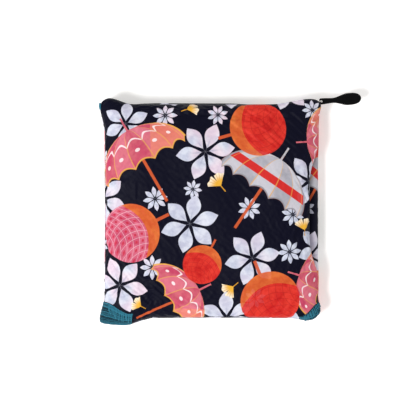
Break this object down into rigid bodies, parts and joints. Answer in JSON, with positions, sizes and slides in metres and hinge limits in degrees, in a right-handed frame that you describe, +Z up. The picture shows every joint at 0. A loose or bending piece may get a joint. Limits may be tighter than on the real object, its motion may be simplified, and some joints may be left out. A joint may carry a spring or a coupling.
{
  "type": "foldable nylon bag in its zipped pouch",
  "caption": "Soft tote folded flat into a square zipped pouch of printed nylon, with stitched corners and a moulded puller on a sliding zip.",
  "frame": {"origin": "on the surface that the pouch rests on, under the middle of its square body", "axes": "+X to the pouch's right side, where the closed zip's slider and puller are; +Y to the zipped edge; +Z up, out of the front panel"},
  "size_m": [0.1729, 0.154, 0.0235],
  "materials": {
    "printed_nylon": "thin plain-woven nylon, dark navy with a printed pattern, faint sheen",
    "folded_nylon": "the same nylon, folded in soft layers",
    "zip_tape": "dense black woven tape",
    "zip_coil": "black nylon coil",
    "black_metal": "black lacquered zinc",
    "moulded_black": "smooth moulded plastic with a soft sheen",
    "teal_thread": "dense overlocked thread"
  },
  "bodies": {
    "pouch": {"pouch_front": "printed_nylon", "pouch_back": "printed_nylon", "folded_bag": "folded_nylon", "zip_tape_front": "zip_tape", "zip_tape_back": "zip_tape", "zip_coil_front": "zip_coil", "zip_coil_back": "zip_coil", "zip_top_stop_front": "black_metal", "zip_top_stop_back": "black_metal", "zip_bottom_stop": "black_metal", "corner_stitching_left": "teal_thread", "corner_stitching_right": "teal_thread", "corner_stitching_top": "teal_thread"},
    "zip_slider": {"slider": "black_metal"},
    "zip_link": {"link": "black_metal"},
    "zip_puller": {"puller": "moulded_black"}
  },
  "joints": [
    {"name": "zip_slide", "type": "slide", "parent": "pouch", "child": "zip_slider", "axis": [1, 0, 0], "range_m": [-0.1288, 0]},
    {"name": "link_swing", "type": "hinge", "parent": "zip_slider", "child": "zip_link", "pos_m": [0.0674, 0.07155, 0.011], "axis": [0, 0, 1], "range_deg": [0, 88]},
    {"name": "puller_swing", "type": "hinge", "parent": "zip_link", "child": "zip_puller", "pos_m": [0.07232, 0.07242, 0.011], "axis": [0, 0, 1], "range_deg": [0, 87]}
  ]
}
